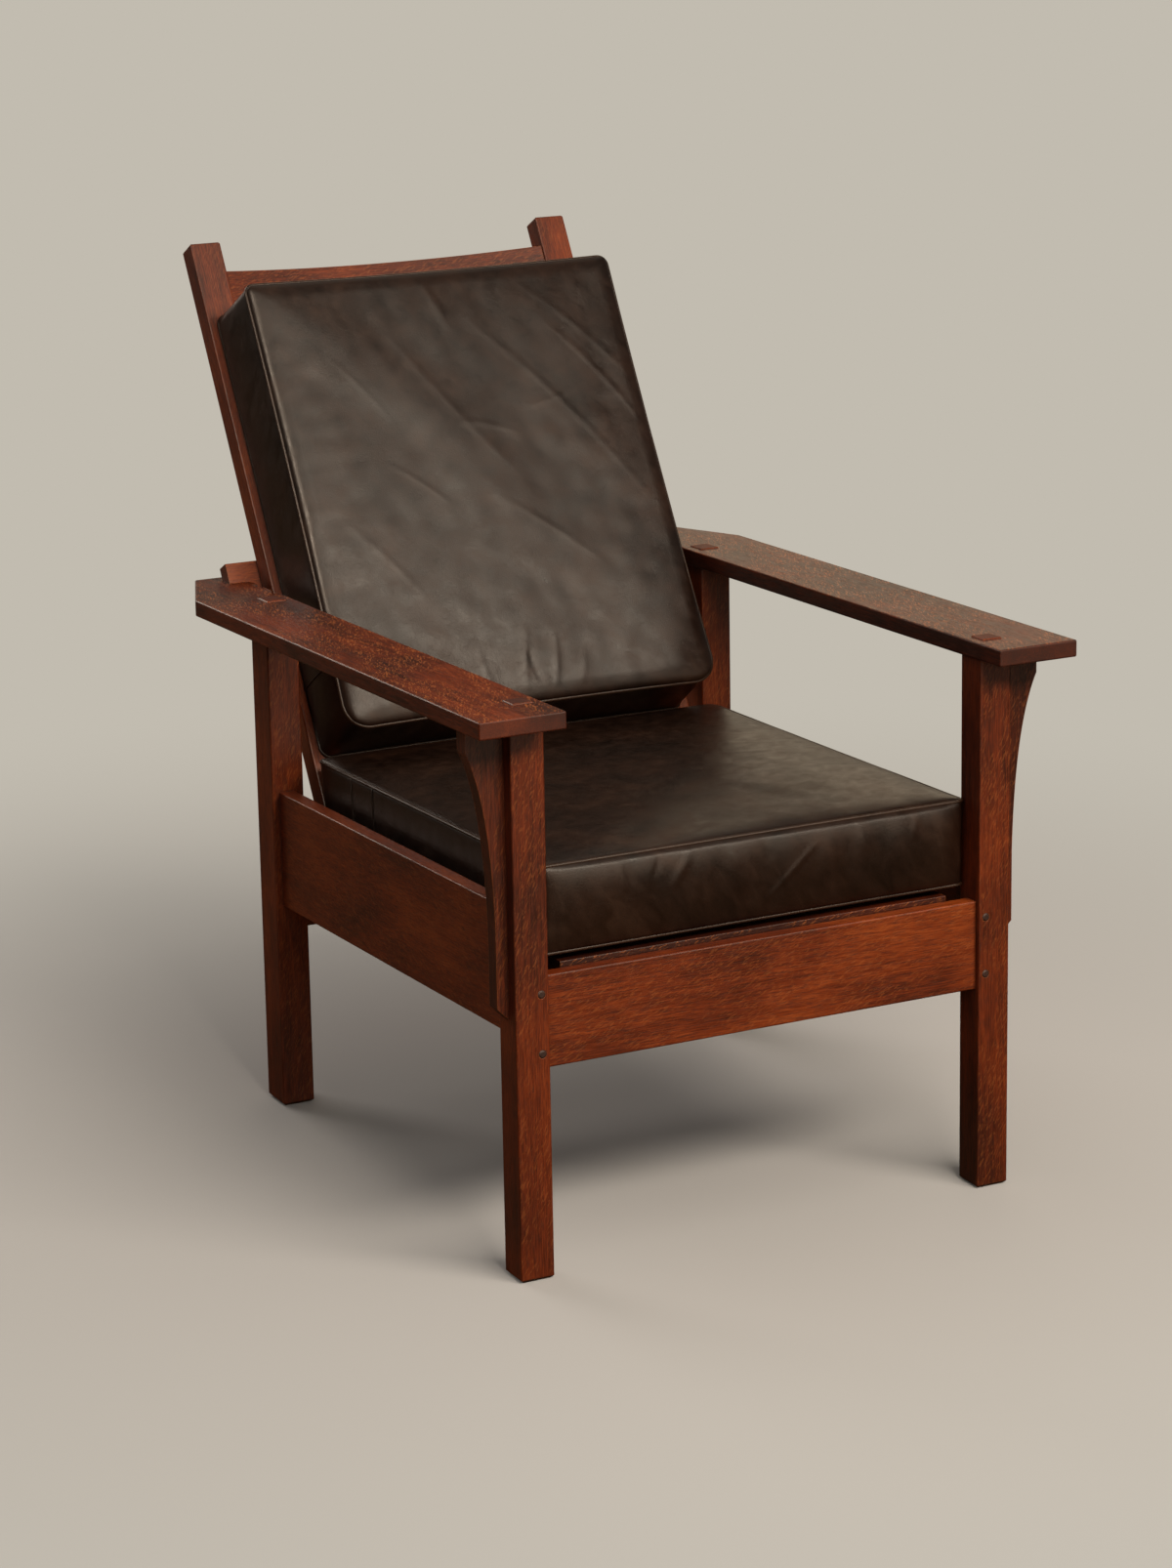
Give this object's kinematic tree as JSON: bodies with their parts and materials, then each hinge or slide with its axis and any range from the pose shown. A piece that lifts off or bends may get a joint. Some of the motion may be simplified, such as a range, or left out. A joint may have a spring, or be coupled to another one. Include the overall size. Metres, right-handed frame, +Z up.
{
  "type": "reclining armchair",
  "caption": "Mission style reclining armchair: oak frame with flat arms on corbels, a pivoting slatted back held by a notched crossbar, and boxed leather cushions.",
  "frame": {"origin": "on the floor, under the middle of the chair's bounding box", "axes": "+X to the right seen from the front, across the chair; +Y towards the rear; +Z up"},
  "size_m": [0.7624, 1.0488, 1.0175],
  "materials": {
    "oak": "satin",
    "peg": "satin",
    "turned_oak": "satin",
    "seat_wood": "matte",
    "seat_leather": "semi-gloss",
    "back_leather": "semi-gloss"
  },
  "bodies": {
    "frame": {"front_leg_right": "oak", "front_leg_left": "oak", "rear_leg_right": "oak", "rear_leg_left": "oak", "front_rail": "oak", "rear_rail": "oak", "side_rail_right": "oak", "side_rail_left": "oak", "front_rail_pegs": "peg", "arm_right": "oak", "arm_left": "oak", "corbel_right": "oak", "corbel_left": "oak", "seat_cleat": "seat_wood", "seat_bearer": "seat_wood", "seat_frame_front": "seat_wood", "seat_frame_rear": "seat_wood", "seat_frame_right": "seat_wood", "seat_frame_left": "seat_wood", "seat_slat_1": "seat_wood", "seat_slat_2": "seat_wood", "seat_slat_3": "seat_wood", "seat_slat_4": "seat_wood", "seat_slat_5": "seat_wood", "pivot_pin_right": "turned_oak", "pivot_pin_left": "turned_oak", "pivot_spool_right": "turned_oak", "pivot_spool_left": "turned_oak"},
    "back": {"back_post_right": "oak", "back_post_left": "oak", "back_slat_1": "oak", "back_slat_2": "oak", "back_slat_3": "oak", "back_slat_4": "oak", "back_slat_5": "oak"},
    "crossbar": {"crossbar": "oak"},
    "seat_cushion": {"seat_cushion": "seat_leather"},
    "back_cushion": {"back_cushion": "back_leather"}
  },
  "joints": [
    {"name": "back_tilt", "type": "hinge", "parent": "frame", "child": "back", "pos_m": [0, 0.1132, 0.32979], "axis": [1, 0, 0], "range_deg": [0, 15]},
    {"name": "crossbar_lift", "type": "slide", "parent": "frame", "child": "crossbar", "axis": [0, 0.506, 0.8626], "range_m": [0, 0.04]},
    {"name": "back_cushion_lift", "type": "slide", "parent": "back", "child": "back_cushion", "axis": [0, 0.506, 0.8626], "range_m": [0, 0.2]},
    {"name": "seat_cushion_lift", "type": "slide", "parent": "frame", "child": "seat_cushion", "axis": [0, -0.9699, 0.2435], "range_m": [0, 0.25]}
  ]
}
